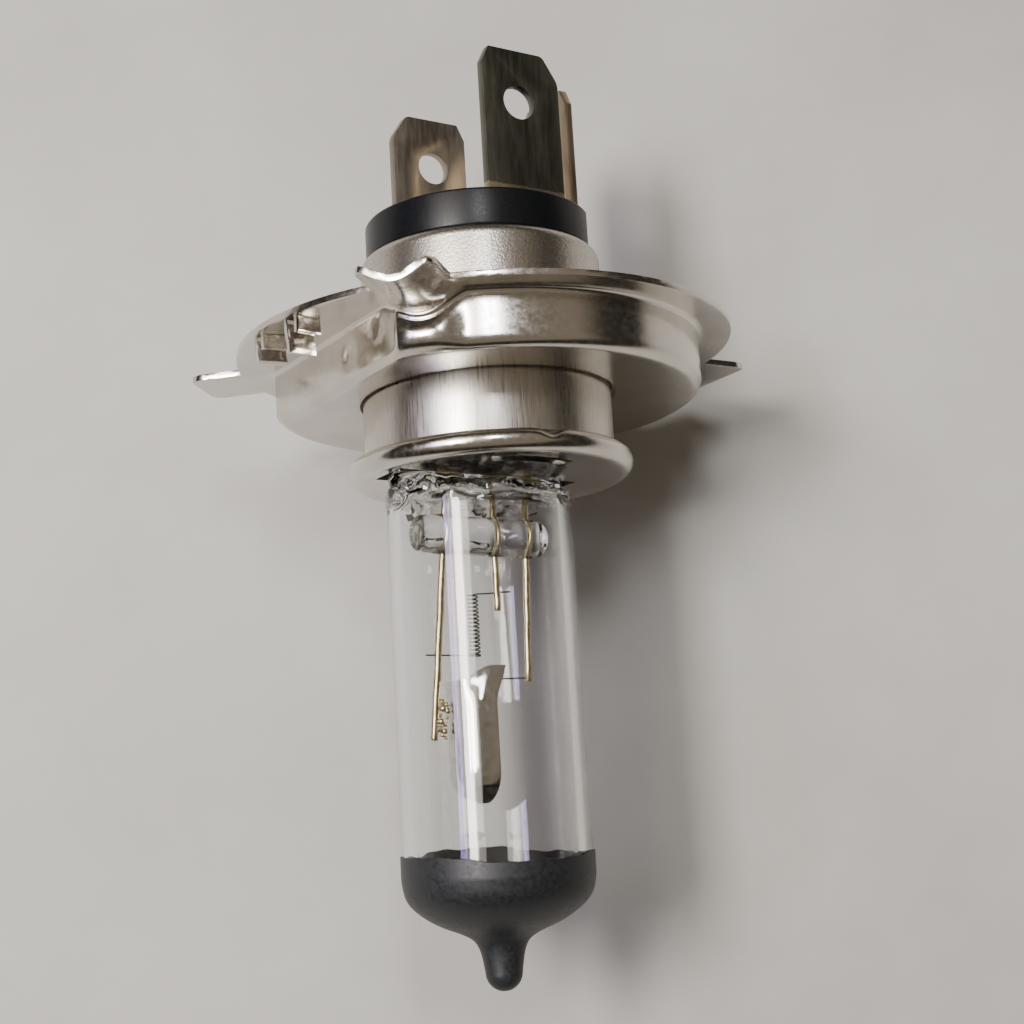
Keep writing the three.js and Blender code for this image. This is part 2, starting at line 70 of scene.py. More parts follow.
SHEET = 0.5                     # ring sheet thickness
FLANGE_R = 21.5
CUP_R = 18.6
CUP_FRONT = ring_low.y
CUP_RISE = 0.6                  # the front face is a shallow cone, higher at its hole
CUP_HOLE_R = 11.1
FLAT_D = 14.9                   # flat on the cup, opposite the wide lug
LUG_R = 26.0
WIDE_LUG = 8.0
NARROW_LUG = 6.4
SHELL_R = 10.52
SHELL_MOUTH_R = 9.4             # the shell's turned-in mouth, under the insulator
SHELL_WALL = 0.4
FOOT_R = shell_high.x
SLEEVE_R = sleeve_high.x
SLEEVE_WALL = 0.4
PLATE_R = plate_high.x
PLATE_Y = (plate_low.y + plate_high.y) / 2
PLATE_SHEET = 0.4
VENT_R = (7.2, 8.9)             # crescent slot in the plate, and where it runs in degrees
VENT_ARC = (38, 89)
SLOT = (-8.75, 8.75)            # the pinch's slot in the plate, along the pinch
SLOT_HALF = 2.2                 # and half of it across
PLUG_R = plug_high.x
PLUG_FLAT = 0.33                # taken off one side by the moulding's parting edge
SPIGOT_R = 9.8                  # the part of the insulator inside the shell
PLUG_NECK_R = 9.3
BLADE_W = 7.7
BLADE_T = 0.8
BLADE_OFF = 8.0
BLADE_TIP = blade_high.y
BLADE_SEAT = 8.7                # where a blade widens inside the insulator
BLADE_NECK = 2.6                # half widths inside the insulator and at the tail
BLADE_TAIL = 1.6
BLADE_HOLE = (-0.3, BLADE_TIP - 4.75, 1.5)      # across, y, radius
GLASS_X = (coat_low.x + coat_high.x) / 2
GLASS_R = 7.95
GLASS_WALL = 1.1
TIP_Y = coat_low.y
COAT_EDGE = -43.45              # mean height of the coating's ragged edge
COAT_STILL = -46.0              # below this the coating isn't stretched to meet that edge
COAT_TOP = -42.2
COAT_SKIN = 0.14                # the coating's outside and inside, off the glass
COAT_LINING = 0.03
PINCH_TOP = glass_high.y
PINCH_W = 17.2
PINCH_T = 3.4
PINCH_RUN = (-14.6, -11.4)      # where the tube is squeezed down to the pinch
LEAD_TOP = [(-3.2, -12.7), (1.4, -12.7), (4.9, -12.7)]     # [across the pinch, y]
LEAD_END = [(-5.35, -34.1), (1.35, -23.1), (4.1, -29.1)]
LEAD_R = 0.3
OUTER_LEAD_R = 0.35
FOIL_HALF = (1.2, 3.0)          # half width and half length
FOIL_SHEET = 0.06
CIRCUITS = ["ground", "high_beam", "low_beam"]
BRIDGE_Y = (bridge_low.y + bridge_high.y) / 2
BRIDGE_R = (bridge_high.y - bridge_low.y) / 2
BRIDGE_ENDS = (-6.1, 6.5)
SHIELD_HALF = 88                # the trough reaches this many degrees either side of its back
SHIELD_R = 2.9
SHIELD_U = -0.9
SHIELD_SHEET = 0.22
COIL_U = -1.1
COIL_R = 0.42
COIL_TURNS = 16
COIL_WIRE_R = 0.065
HIGH_COIL = (-21.7, -27.0)
LOW_COIL = (-29.0, -34.4)


# ---- mesh helpers ----------------------------------------------------------------------------
def filleted(corners, closed=False, steps=6):
    """Points of an outline [(a, b, fillet radius), ...] with its corners rounded."""
    out = []
    count = len(corners)
    for i, (a, b, fillet) in enumerate(corners):
        if fillet == 0 or (not closed and i in (0, count - 1)):
            out.append((a, b))
            continue
        here = Vector((a, b))
        back = (Vector(corners[i - 1][:2]) - here).normalized()
        ahead = (Vector(corners[(i + 1) % count][:2]) - here).normalized()
        half = back.angle(ahead) / 2
        middle = here + (back + ahead).normalized() * (fillet / sin(half))
        start = here + back * (fillet / tan(half)) - middle
        end = here + ahead * (fillet / tan(half)) - middle
        sweep = start.angle_signed(end)
        for k in range(steps + 1):
            turn = Matrix.Rotation(-sweep * k / steps, 2)
            out.append(tuple(middle + turn @ start))
    return out


def spun(outline, steps, closed=True):
    """A bmesh of an outline [(radius, y), ...] turned all the way round Y."""
    bm = bmesh.new()
    verts = [bm.verts.new((r, y, 0)) for r, y in outline]
    pairs = list(zip(verts, verts[1:]))
    if closed and outline[0][0] > 1e-6:
        pairs.append((verts[-1], verts[0]))
    edges = [bm.edges.new(pair) for pair in pairs]
    bmesh.ops.spin(bm, geom=verts + edges, cent=(0, 0, 0), axis=(0, 1, 0), dvec=(0, 0, 0),
                   angle=2 * pi, steps=steps, use_merge=True, use_duplicate=False)
    bmesh.ops.remove_doubles(bm, verts=bm.verts, dist=1e-4)
    bmesh.ops.recalc_face_normals(bm, faces=bm.faces)
    return bm


def cut_sheet(outline, thickness, holes=()):
    """A bmesh of a flat plate in X and Y, from its outline and round holes (x, y, r)."""
    bm = bmesh.new()
    loops = [outline]
    for x, y, r in holes:
        loops.append([(x + r * cos(2 * pi * k / 48), y + r * sin(2 * pi * k / 48))
                      for k in range(48)])
    edges = []
    for loop in loops:
        verts = [bm.verts.new((x, y, -thickness / 2)) for x, y in loop]
        edges += [bm.edges.new((verts[i - 1], verts[i])) for i in range(len(verts))]
    bmesh.ops.triangle_fill(bm, edges=edges, use_beauty=True, use_dissolve=True)
    grown = bmesh.ops.extrude_face_region(bm, geom=bm.faces[:])
    moved = [v for v in grown["geom"] if isinstance(v, bmesh.types.BMVert)]
    bmesh.ops.translate(bm, verts=moved, vec=(0, 0, thickness))
    bmesh.ops.recalc_face_normals(bm, faces=bm.faces)
    return bm


def ease_edges(bm, width, over=35, segments=2):
    """Rounds every edge sharper than `over` degrees."""
    sharp = [e for e in bm.edges if len(e.link_faces) == 2
             and e.calc_face_angle(0) > radians(over)]
    bmesh.ops.bevel(bm, geom=sharp, offset=width, offset_type="OFFSET", segments=segments,
                    profile=0.5, affect="EDGES", clamp_overlap=True, material=-1)


def wire(points, radius, sides=12):
    """A round wire through points, with its ends rounded off."""
    bm = bmesh.new()
    rings = []
    places = [Vector(p) for p in points]
    for i, place in enumerate(places):
        ahead = places[min(i + 1, len(places) - 1)] - places[max(i - 1, 0)]
        spot = ahead.to_track_quat("Z", "Y").to_matrix().to_4x4()
        spot.translation = place
        ring = bmesh.ops.create_circle(bm, segments=sides, radius=radius, matrix=spot)
        rings.append(ring["verts"])
    for low, high in zip(rings, rings[1:]):
        edges = [e for e in bm.edges if all(v in low for v in e.verts)
                 or all(v in high for v in e.verts)]
        bmesh.ops.bridge_loops(bm, edges=edges)
    ends = [e for e in bm.edges if e.is_boundary]
    bmesh.ops.holes_fill(bm, edges=ends, sides=0)
    bmesh.ops.recalc_face_normals(bm, faces=bm.faces)
    ease_edges(bm, radius * 0.45, over=60, segments=3)
    return bm


def rotate(bm, angle, axis="Y"):
    bmesh.ops.rotate(bm, verts=bm.verts, cent=(0, 0, 0), matrix=Matrix.Rotation(angle, 3, axis))


def move(bm, x=0, y=0):
    bmesh.ops.translate(bm, verts=bm.verts, vec=(x, y, 0))


def join_mesh(bm, other):
    """Adds another bmesh to this one, and frees it."""
    spare = bpy.data.meshes.new("spare")
    other.to_mesh(spare)
    other.free()
    bm.from_mesh(spare)
    bpy.data.meshes.remove(spare)


def cut_through(bm, cut):
    """Takes faces out of both sides of a plate and joins the two openings by a wall."""
    edges = {e for f in cut for e in f.edges}
    bmesh.ops.delete(bm, geom=cut, context="FACES")
    bmesh.ops.bridge_loops(bm, edges=[e for e in edges if e.is_valid and e.is_boundary])


def turn_base(bm):
    """From the base's own X and Z to the bulb's."""
    rotate(bm, TURN)


def turn_glass(bm):
    """From the glass's own X and Z to the bulb's, off to the side where the glass stands."""
    turn_base(bm)
    move(bm, GLASS_X)


def finish_piece(name, bm, material, slot, *nodes, angle=38):
    """Makes a piece of a bmesh in millimetres; edges sharper than `angle` degrees stay crisp."""
    bmesh.ops.scale(bm, verts=bm.verts, vec=(MM, MM, MM))
    mesh = bpy.data.meshes.new(name)
    bm.to_mesh(mesh)
    bm.free()
    mesh.shade_smooth()
    mesh.set_sharp_from_angle(angle=radians(angle))
    piece = bpy.data.objects.new(name, mesh)
    bpy.context.scene.collection.objects.link(piece)
    mesh.materials.append(material)
    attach(piece, "root")
    if nodes:
        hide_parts(*nodes)
    return piece


def smooth_step(x):
    x = min(1.0, max(0.0, x))
    return x * x * (3 - 2 * x)


# ---- materials -------------------------------------------------------------------------------
def srgb(code):
    """An sRGB hex colour as linear values."""
    channels = [int(code[i:i + 2], 16) / 255 for i in (1, 3, 5)]
    return (*[c / 12.92 if c <= 0.04045 else ((c + 0.055) / 1.055) ** 2.4 for c in channels], 1.0)


def add_node(tree, kind, values=None, links=None, stops=None, **settings):
    """Adds a node with its settings, input values, the sockets that feed it and colour stops."""
    made = tree.nodes.new(kind)
    for key, value in settings.items():
        setattr(made, key, value)
    for key, value in (values or {}).items():
        made.inputs[key].default_value = value
    for key, socket in (links or {}).items():
        tree.links.new(socket, made.inputs[key])
    if stops:
        points = made.color_ramp.elements
        while len(points) < len(stops):
            points.new(0.5)
        for point, (place, code) in zip(points, stops):
            point.position = place
            point.color = srgb(code)
    return made


def start_material(name):
    """A new material, its node tree, its surface and the Object coordinates it reads."""
    material = bpy.data.materials.new(name)
    material.use_nodes = True
    tree = material.node_tree
    where = add_node(tree, "ShaderNodeTexCoord").outputs["Object"]
    return material, tree, tree.nodes["Principled BSDF"], where


def per_mm(size):
    """Noise scale, in object metres, for features about `size` millimetres across."""
    return 1 / (size * MM)


def nickel_plate():
    # Bright nickel over stamped steel sheet: mirror-like, faint roll waves, fine scuffs.
    material, tree, skin, where = start_material("bright_nickel_plated_stamped_steel")
    cloud = add_node(tree, "ShaderNodeTexNoise", {"Scale": per_mm(4), "Detail": 4.0},
                     {"Vector": where})
    colour = add_node(tree, "ShaderNodeValToRGB", links={"Fac": cloud.outputs["Fac"]},
                      stops=[(0.3, "#d2cdc4"), (0.7, "#e0dcd5")])
    tree.links.new(colour.outputs["Color"], skin.inputs["Base Color"])
    scuff = add_node(tree, "ShaderNodeTexNoise",
                     {"Scale": per_mm(0.5), "Detail": 6.0, "Roughness": 0.7}, {"Vector": where})
    rough = add_node(tree, "ShaderNodeMapRange", {"From Min": 0.35, "From Max": 0.75,
                     "To Min": 0.13, "To Max": 0.30}, {"Value": scuff.outputs["Fac"]})
    tree.links.new(rough.outputs["Result"], skin.inputs["Roughness"])
    wave = add_node(tree, "ShaderNodeTexNoise", {"Scale": per_mm(3), "Detail": 2.0},
                    {"Vector": where})
    bump = add_node(tree, "ShaderNodeBump", {"Strength": 0.2, "Distance": 0.00004},
                    {"Height": wave.outputs["Fac"]})
    tree.links.new(bump.outputs["Normal"], skin.inputs["Normal"])
    skin.inputs["Metallic"].default_value = 1.0
    return material


def satin_nickel():
    # Satin nickel on the drawn shell: an even fine grain that breaks up reflections.
    material, tree, skin, where = start_material("satin_nickel_drawn_shell")
    grain = add_node(tree, "ShaderNodeTexNoise",
                     {"Scale": per_mm(0.22), "Detail": 3.0, "Roughness": 0.6}, {"Vector": where})
    colour = add_node(tree, "ShaderNodeValToRGB", links={"Fac": grain.outputs["Fac"]},
                      stops=[(0.35, "#b4aea4"), (0.65, "#d0cac0")])
    tree.links.new(colour.outputs["Color"], skin.inputs["Base Color"])
    bump = add_node(tree, "ShaderNodeBump", {"Strength": 0.9, "Distance": 0.00003},
                    {"Height": grain.outputs["Fac"]})
    tree.links.new(bump.outputs["Normal"], skin.inputs["Normal"])
    skin.inputs["Roughness"].default_value = 0.30
    skin.inputs["Metallic"].default_value = 1.0
    return material


def brushed_nickel():
    # Nickel plate over a drawn tube: draw lines run along the axis and stretch the highlights
    # round the tube.
    material, tree, skin, where = start_material("brushed_nickel_drawn_tube")
    along = add_node(tree, "ShaderNodeMapping", {"Scale": (1, 0.035, 1)}, {"Vector": where})
    lines = add_node(tree, "ShaderNodeTexNoise",
                     {"Scale": per_mm(0.10), "Detail": 3.0, "Roughness": 0.6},
                     {"Vector": along.outputs["Vector"]})
    speck = add_node(tree, "ShaderNodeTexNoise", {"Scale": per_mm(0.12), "Detail": 2.0},
                     {"Vector": where})
    mixed = add_node(tree, "ShaderNodeMix", {"Factor": 0.3},
                     {2: lines.outputs["Fac"], 3: speck.outputs["Fac"]}, data_type="FLOAT")
    colour = add_node(tree, "ShaderNodeValToRGB", links={"Fac": mixed.outputs[0]},
                      stops=[(0.32, "#bfb9af"), (0.66, "#d9d5cd")])
    tree.links.new(colour.outputs["Color"], skin.inputs["Base Color"])
    rough = add_node(tree, "ShaderNodeMapRange", {"From Min": 0.35, "From Max": 0.65,
                     "To Min": 0.27, "To Max": 0.38}, {"Value": lines.outputs["Fac"]})
    tree.links.new(rough.outputs["Result"], skin.inputs["Roughness"])
    bump = add_node(tree, "ShaderNodeBump", {"Strength": 0.05, "Distance": 0.00002},
                    {"Height": mixed.outputs[0]})
    tree.links.new(bump.outputs["Normal"], skin.inputs["Normal"])
    skin.inputs["Metallic"].default_value = 1.0
    return material


def blade_plate(name, tone, light):
    # Thin tin plate on steel strip, dulled by handling: soft reflections, draw lines along Y. The
    # two tones are given per blade, and how they differ between blades is painted light: dark
    # painted shade and reflection on the blade that faces up, warmer and paler painted light on the
    # other two.
    material, tree, skin, where = start_material(name)
    along = add_node(tree, "ShaderNodeMapping", {"Scale": (1, 0.12, 1)}, {"Vector": where})
    lines = add_node(tree, "ShaderNodeTexNoise",
                     {"Scale": per_mm(0.4), "Detail": 5.0, "Roughness": 0.65},
                     {"Vector": along.outputs["Vector"]})
    stain = add_node(tree, "ShaderNodeTexNoise", {"Scale": per_mm(5), "Detail": 3.0},
                     {"Vector": where})
    mixed = add_node(tree, "ShaderNodeMix", {"Factor": 0.75},
                     {2: lines.outputs["Fac"], 3: stain.outputs["Fac"]}, data_type="FLOAT")
    plate = add_node(tree, "ShaderNodeValToRGB", links={"Fac": mixed.outputs[0]},
                     stops=[(0.35, tone), (0.68, light)])
    # The plating is rubbed through to paler metal in a ragged strip just above the moulding.
    height = add_node(tree, "ShaderNodeSeparateXYZ", links={"Vector": where}).outputs["Y"]
    ragged = add_node(tree, "ShaderNodeMath", {1: 0.0006}, {0: lines.outputs["Fac"], 2: height},
                      operation="MULTIPLY_ADD")
    rubbed = add_node(tree, "ShaderNodeMapRange", {
        "From Min": (plug_high.y + 1.0) * MM, "From Max": (plug_high.y + 1.1) * MM,
        "To Min": 1.0, "To Max": 0.0}, {"Value": ragged.outputs["Value"]})
    colour = add_node(tree, "ShaderNodeMix", {7: srgb("#b5a88f")},
                      {"Factor": rubbed.outputs["Result"], 6: plate.outputs["Color"]},
                      data_type="RGBA")
    tree.links.new(colour.outputs[2], skin.inputs["Base Color"])
    rough = add_node(tree, "ShaderNodeMapRange", {"From Min": 0.3, "From Max": 0.7,
                     "To Min": 0.30, "To Max": 0.46}, {"Value": lines.outputs["Fac"]})
    tree.links.new(rough.outputs["Result"], skin.inputs["Roughness"])
    bump = add_node(tree, "ShaderNodeBump", {"Strength": 0.15, "Distance": 0.00003},
                    {"Height": lines.outputs["Fac"]})
    tree.links.new(bump.outputs["Normal"], skin.inputs["Normal"])
    skin.inputs["Metallic"].default_value = 1.0
    return material


def moulded_black():
    # Black phenolic moulding: smooth, with a low sheen and paler dust specks.
    material, tree, skin, where = start_material("black_phenolic_moulding")
    dust = add_node(tree, "ShaderNodeTexNoise",
                    {"Scale": per_mm(0.3), "Detail": 6.0, "Roughness": 0.8}, {"Vector": where})
    colour = add_node(tree, "ShaderNodeValToRGB", links={"Fac": dust.outputs["Fac"]},
                      stops=[(0.62, "#0d0f11"), (0.80, "#2c2f31")])
    tree.links.new(colour.outputs["Color"], skin.inputs["Base Color"])
    rough = add_node(tree, "ShaderNodeMapRange", {"From Min": 0.3, "From Max": 0.7,
                     "To Min": 0.24, "To Max": 0.42}, {"Value": dust.outputs["Fac"]})
    tree.links.new(rough.outputs["Result"], skin.inputs["Roughness"])
    skin.inputs["Specular IOR Level"].default_value = 0.25
    return material


def fused_quartz(name, ripple, size):
    # Clear fused quartz, drawn and flame worked: no tint, sharp reflections, slight waviness.
    material, tree, skin, where = start_material(name)
    wave = add_node(tree, "ShaderNodeTexNoise", {"Scale": per_mm(size), "Detail": 2.0},
                    {"Vector": where})
    bump = add_node(tree, "ShaderNodeBump", {"Strength": ripple, "Distance": 0.0001},
                    {"Height": wave.outputs["Fac"]})
    tree.links.new(bump.outputs["Normal"], skin.inputs["Normal"])
    skin.inputs["Base Color"].default_value = srgb("#fbfcfc")
    skin.inputs["Roughness"].default_value = 0.0
    skin.inputs["IOR"].default_value = 1.458
    skin.inputs["Transmission Weight"].default_value = 1.0
    return material


def dipped_black():
    # Opaque heat-proof black dipped over the dome: satin, very slightly blue, faintly pitted.
    material, tree, skin, where = start_material("dipped_opaque_black_coating")
    pits = add_node(tree, "ShaderNodeTexNoise",
                    {"Scale": per_mm(0.35), "Detail": 5.0, "Roughness": 0.6}, {"Vector": where})
    colour = add_node(tree, "ShaderNodeValToRGB", links={"Fac": pits.outputs["Fac"]},
                      stops=[(0.35, "#17181b"), (0.75, "#26282b")])
    tree.links.new(colour.outputs["Color"], skin.inputs["Base Color"])
    rough = add_node(tree, "ShaderNodeMapRange", {"From Min": 0.3, "From Max": 0.7,
                     "To Min": 0.42, "To Max": 0.58}, {"Value": pits.outputs["Fac"]})
    tree.links.new(rough.outputs["Result"], skin.inputs["Roughness"])
    bump = add_node(tree, "ShaderNodeBump", {"Strength": 0.35, "Distance": 0.00003},
                    {"Height": pits.outputs["Fac"]})
    tree.links.new(bump.outputs["Normal"], skin.inputs["Normal"])
    return material


def refractory_metal(name, dark, light, roughness):
    # Drawn wire or pressed sheet: bright, with faint darker patches from the sealing flame.
    material, tree, skin, where = start_material(name)
    patch = add_node(tree, "ShaderNodeTexNoise", {"Scale": per_mm(0.8), "Detail": 4.0},
                     {"Vector": where})
    colour = add_node(tree, "ShaderNodeValToRGB", links={"Fac": patch.outputs["Fac"]},
                      stops=[(0.35, dark), (0.6, light)])
    tree.links.new(colour.outputs["Color"], skin.inputs["Base Color"])
    bump = add_node(tree, "ShaderNodeBump", {"Strength": 0.3, "Distance": 0.00002},
                    {"Height": patch.outputs["Fac"]})
    tree.links.new(bump.outputs["Normal"], skin.inputs["Normal"])
    skin.inputs["Roughness"].default_value = roughness
    skin.inputs["Metallic"].default_value = 1.0
    return material


NICKEL = nickel_plate()
SATIN = satin_nickel()
BRUSHED = brushed_nickel()
BLACK = moulded_black()
QUARTZ = fused_quartz("clear_fused_quartz_tube", 0.05, 6)
PINCHED = fused_quartz("flame_worked_quartz", 0.3, 1.5)
COATING = dipped_black()
MOLY = refractory_metal("drawn_molybdenum_wire", "#c4b283", "#ece0bb", 0.2)
TUNGSTEN = refractory_metal("coiled_tungsten_wire", "#3b3a38", "#6d6a66", 0.4)
SHIELD_SKIN = refractory_metal("pressed_molybdenum_sheet", "#c9c5be", "#dad7d1", 0.1)
# One plating in three tone pairs that hold painted light: the high-beam blade faces up and is
# painted dark as shade and reflection, the other two are painted warmer and paler as lit copies.
BLADE_SKINS_WITH_PAINTED_LIGHT = {
    "high_beam": blade_plate("tin_plated_strip_painted_shade", "#66665c", "#74746a"),
    "ground": blade_plate("tin_plated_strip_painted_warm_light", "#938b80", "#b0a89c"),
    "low_beam": blade_plate("tin_plated_strip_painted_pale_light", "#a3937f", "#c9b99f"),
}


# ---- prefocus ring ---------------------------------------------------------------------------
LUGS = [(0.0, WIDE_LUG), (SIDE_LUG, NARROW_LUG), (-SIDE_LUG, NARROW_LUG)]
GUTTER_LUG = SIDE_LUG
GUTTER_DEPTH = 1.5
GUTTER_HALF = 2.9               # half its width at the rim, and how much it flares inwards
GUTTER_FLARE = 0.8
PILLOW = 0.8                    # how far the cup wall bulges under the gutter
PILLOW_TOP = -1.05
LANCES = [                      # middle, length of the long tongue, how far its end curls
    (radians(169.4), 2.65, 0.0),
    (radians(184.0), 2.15, 0.14)]
LANCE_HALF = radians(2.7)
LANCE_R = (18.3, 20.8)
LANCE_LIP = 1.25                # the short lip on each window's other side
FRONT_BEND = 0.9                # bend between the cup's wall and its front face
FLAT_BEND = 0.6                 # how much of that bend is left along the flat
RING_TILT = radians(0.75)       # the ring is welded on very slightly out of square
COLUMNS = 480
COARSE, FINE = 0.8, 0.24        # cell sizes across the front face, and everywhere else
FRONT_BAND = 1.2                # the flat moves the sheet whole this far inside the wall's face
FOOT_BAND = 0.6                 # and this far outside it


def cup_radius(angle):
    """Outside radius of the cup at an angle in the base's own frame: round, with one flat."""
    away = cos(angle - pi)
    return min(CUP_R, FLAT_D / away) if away > 0.05 else CUP_R


def ring_sheet():
    """The front side of the ring's sheet: coarse across the front face, fine everywhere else."""
    wall_foot = filleted([
        (CUP_HOLE_R, CUP_FRONT + CUP_RISE, 0), (CUP_R, CUP_FRONT, FRONT_BEND),
        (CUP_R, -SHEET, 0.5), (FLANGE_R, -SHEET, 0)], steps=7)
    profile = []
    for (r0, y0), (r1, y1) in zip(wall_foot, wall_foot[1:]):
        size = COARSE if r1 < CUP_R - FRONT_BEND + 0.01 else FINE
        cells = max(1, round(hypot(r1 - r0, y1 - y0) / size))
        profile += [(r0 + (r1 - r0) * k / cells, y0 + (y1 - y0) * k / cells)
                    for k in range(cells)]
    profile.append(wall_foot[-1])
    return spun(profile, COLUMNS, closed=False)


def shape_cup(bm):
    """Pulls the cup wall in to its flat and carries the sheet either side of it along."""
    for v in bm.verts:
        r = hypot(v.co.x, v.co.z)
        angle = atan2(v.co.z, v.co.x)
        shift = cup_radius(angle) - CUP_R
        if r > CUP_R - FRONT_BEND and v.co.y < CUP_FRONT + FRONT_BEND:
            tight = 1 - (1 - FLAT_BEND) * smooth_step(-shift / 0.4)
            r = CUP_R - (CUP_R - r) * tight
            v.co.y = CUP_FRONT + (v.co.y - CUP_FRONT) * tight
        if r <= CUP_R - FRONT_BAND:
            grown = r + shift * (r - CUP_HOLE_R) / (CUP_R - FRONT_BAND - CUP_HOLE_R)
        elif r <= CUP_R + FOOT_BAND:
            grown = r + shift
        else:
            grown = r + shift * (FLANGE_R - r) / (FLANGE_R - CUP_R - FOOT_BAND)
        v.co.x, v.co.z = grown * cos(angle), grown * sin(angle)


def grow_lug(bm, turn, width):
    """Pulls a lug out of the flange's rim: straight sides, rounded corners."""
    out = Vector((cos(turn), 0, sin(turn)))
    across = Vector((-sin(turn), 0, cos(turn)))
    half = width / 2
    rim = {v for e in bm.edges if e.is_boundary for v in e.verts
           if v.co.xz.length > FLANGE_R - 0.05}
    for v in rim:
        t = v.co.dot(across)
        if v.co.dot(out) > 0 and abs(abs(t) - half) < pi * FLANGE_R / COLUMNS:
            t = half if t > 0 else -half
            v.co = out * sqrt(FLANGE_R ** 2 - t * t) + across * t + Vector((0, v.co.y, 0))
    edges = [e for e in bm.edges if e.is_boundary
             and all(v in rim and v.co.dot(out) > 0 and abs(v.co.dot(across)) < half + 1e-3
                     for v in e.verts)]
    corner = 0.9
    rows = 9
    start = sqrt(FLANGE_R ** 2 - half ** 2)
    for row in range(1, rows + 1):
        grown = bmesh.ops.extrude_edge_only(bm, edges=edges)["geom"]
        edges = [g for g in grown if isinstance(g, bmesh.types.BMEdge)]
        for v in (g for g in grown if isinstance(g, bmesh.types.BMVert)):
            t = v.co.dot(across)
            inside = max(0.0, abs(t) - (half - corner))
            end = LUG_R - (corner - sqrt(max(0.0, corner ** 2 - inside ** 2)))
            first = sqrt(FLANGE_R ** 2 - t * t)
            d = first + (end - first) * row / rows
            v.co = out * d + across * t + Vector((0, v.co.y, 0))


def press_gutter(bm):
    """The gutter pressed forward through one lug, and the pillow it leaves in the cup wall."""
    out = Vector((cos(GUTTER_LUG), 0, sin(GUTTER_LUG)))
    across = Vector((-sin(GUTTER_LUG), 0, cos(GUTTER_LUG)))
    for v in bm.verts:
        d = v.co.dot(out)
        t = v.co.dot(across)
        if d < CUP_R - 4 or abs(t) > 6:
            continue
        spread = GUTTER_HALF + GUTTER_FLARE * smooth_step((FLANGE_R - d) / 3.0)
        bow = cos(min(1.0, abs(t) / spread) * pi / 2) ** 1.4
        depth = GUTTER_DEPTH * (1.0 - 0.25 * smooth_step((d - CUP_R) / 7.0))
        reach = smooth_step((d - (CUP_R - 1.6)) / 1.2)
        height = smooth_step((v.co.y - CUP_FRONT) / (-SHEET - CUP_FRONT))
        rise = (PILLOW_TOP - v.co.y) / (PILLOW_TOP - CUP_FRONT)
        if d > CUP_R - 1.5 and 0 < rise < 1:
            v.co += out * PILLOW * sin(pi * rise) ** 0.6 * exp(-(t / 2.6) ** 4)
        v.co.y -= depth * bow * reach * height


def dent_flat(bm):
    """Two shallow dents that the press leaves on the flat."""
    dents = [(2.6, 2.7, 0.9, 0.24), (7.9, 2.0, 0.8, 0.26)]     # across, drop, size, depth
    for across, drop, size, depth in dents:
        for v in bm.verts:
            if v.co.x < -CUP_R + 6 and v.co.y < -0.9:
                near = exp(-((v.co.z - across) / size) ** 2 - ((v.co.y + drop) / 0.9) ** 2)
                v.co.x += depth * near


def lance_tongues(bm):
    """Two windows cut in the wide stretch of flange, with their tongues bent forward."""
    rows = 6
    for centre, drop, curl in LANCES:
        cut = []
        for f in bm.faces:
            c = f.calc_center_median()
            angle = atan2(c.z, c.x) % (2 * pi)
            inside = LANCE_R[0] < c.xz.length < LANCE_R[1]
            if abs(angle - centre) < LANCE_HALF and inside and c.y > -0.8:
                cut.append(f)
        edges = {e for f in cut for e in f.edges}
        bmesh.ops.delete(bm, geom=cut, context="FACES")
        rims = [e for e in edges if e.is_valid and e.is_boundary]
        for side, length, bend in ((-1, LANCE_LIP, 0), (1, drop, curl)):
            hinge = []
            for e in rims:
                ends = [atan2(v.co.z, v.co.x) % (2 * pi) for v in e.verts]
                if abs(ends[0] - ends[1]) < 1e-4 and (ends[0] - centre) * side > 0:
                    hinge.append(e)
            around = Vector((sin(centre), 0, -cos(centre)))
            for row in range(1, rows + 1):
                grown = bmesh.ops.extrude_edge_only(bm, edges=hinge)["geom"]
                hinge = [g for g in grown if isinstance(g, bmesh.types.BMEdge)]
                verts = [g for g in grown if isinstance(g, bmesh.types.BMVert)]
                sway = around * bend * (row / rows) ** 2
                bmesh.ops.translate(bm, verts=verts, vec=sway + Vector((0, -length / rows, 0)))


def prefocus_ring():
    bm = ring_sheet()
    shape_cup(bm)
    for turn, width in LUGS:
        grow_lug(bm, turn, width)
    lance_tongues(bm)
    press_gutter(bm)
    dent_flat(bm)
    bmesh.ops.recalc_face_normals(bm, faces=bm.faces)
    top = max(bm.faces, key=lambda f: f.calc_center_median().x)
    if top.normal.y > 0:
        bmesh.ops.reverse_faces(bm, faces=bm.faces)
    bmesh.ops.solidify(bm, geom=bm.faces[:], thickness=SHEET)
    bmesh.ops.recalc_face_normals(bm, faces=bm.faces)
    ease_edges(bm, 0.14, over=60)
    turn_base(bm)
    rotate(bm, RING_TILT, "Z")
    finish_piece("stamped_prefocus_ring", bm, NICKEL, "bright_nickel", "prefocus_ring")


prefocus_ring()


# ---- base shell, sleeve and holder plate -----------------------------------------------------
def base_shell():
    wall = SHELL_WALL
    foot = shell_low.y
    inner = SLEEVE_R + 0.1
    top = shell_high.y
    outline = filleted([
        (inner, foot, 0), (FOOT_R, foot, 0.1), (FOOT_R, foot + wall, 0.15),
        (inner + wall, foot + wall, 0.3), (inner + wall, -2.0, 0.3), (SHELL_R, -1.2, 0.3),
        (SHELL_R, top, 0.9), (SHELL_MOUTH_R, top, 0.1), (SHELL_MOUTH_R, top - wall, 0.1),
        (SHELL_R - wall, top - wall, 0.5), (SHELL_R - wall, -1.4, 0.2), (inner, -2.2, 0.2)],
        closed=True)
    bm = spun(outline, 256)
    finish_piece("drawn_base_shell", bm, SATIN, "satin_nickel", "base_shell")


